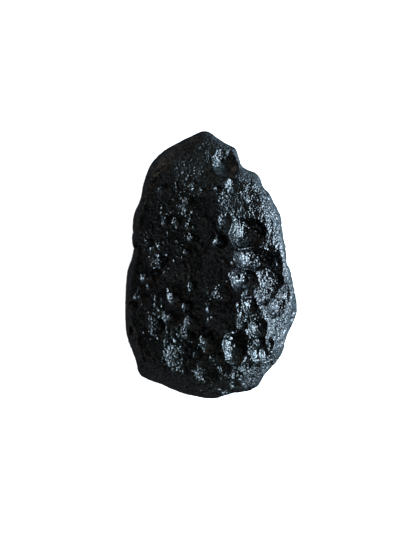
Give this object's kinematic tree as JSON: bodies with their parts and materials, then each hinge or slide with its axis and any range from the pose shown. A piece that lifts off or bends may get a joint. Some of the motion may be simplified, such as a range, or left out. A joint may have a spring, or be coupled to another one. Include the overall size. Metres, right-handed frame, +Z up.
{
  "type": "tektite",
  "caption": "Egg-shaped pebble of near-black natural glass with a blunt end and a tip, covered in cup-shaped etch pits and shallow hollows, lying on its flat back.",
  "frame": {"origin": "on the rest face at the bottom, under the middle of the outline", "axes": "+Z up from the rest face, +Y along the stone towards its narrow tip, +X across it"},
  "size_m": [0.0344, 0.0535, 0.0232],
  "materials": {
    "tektite_glass": "opaque near-black natural glass, etched to satin, with vitreous cups"
  },
  "bodies": {
    "root": {"tektite": "tektite_glass"}
  },
  "joints": []
}
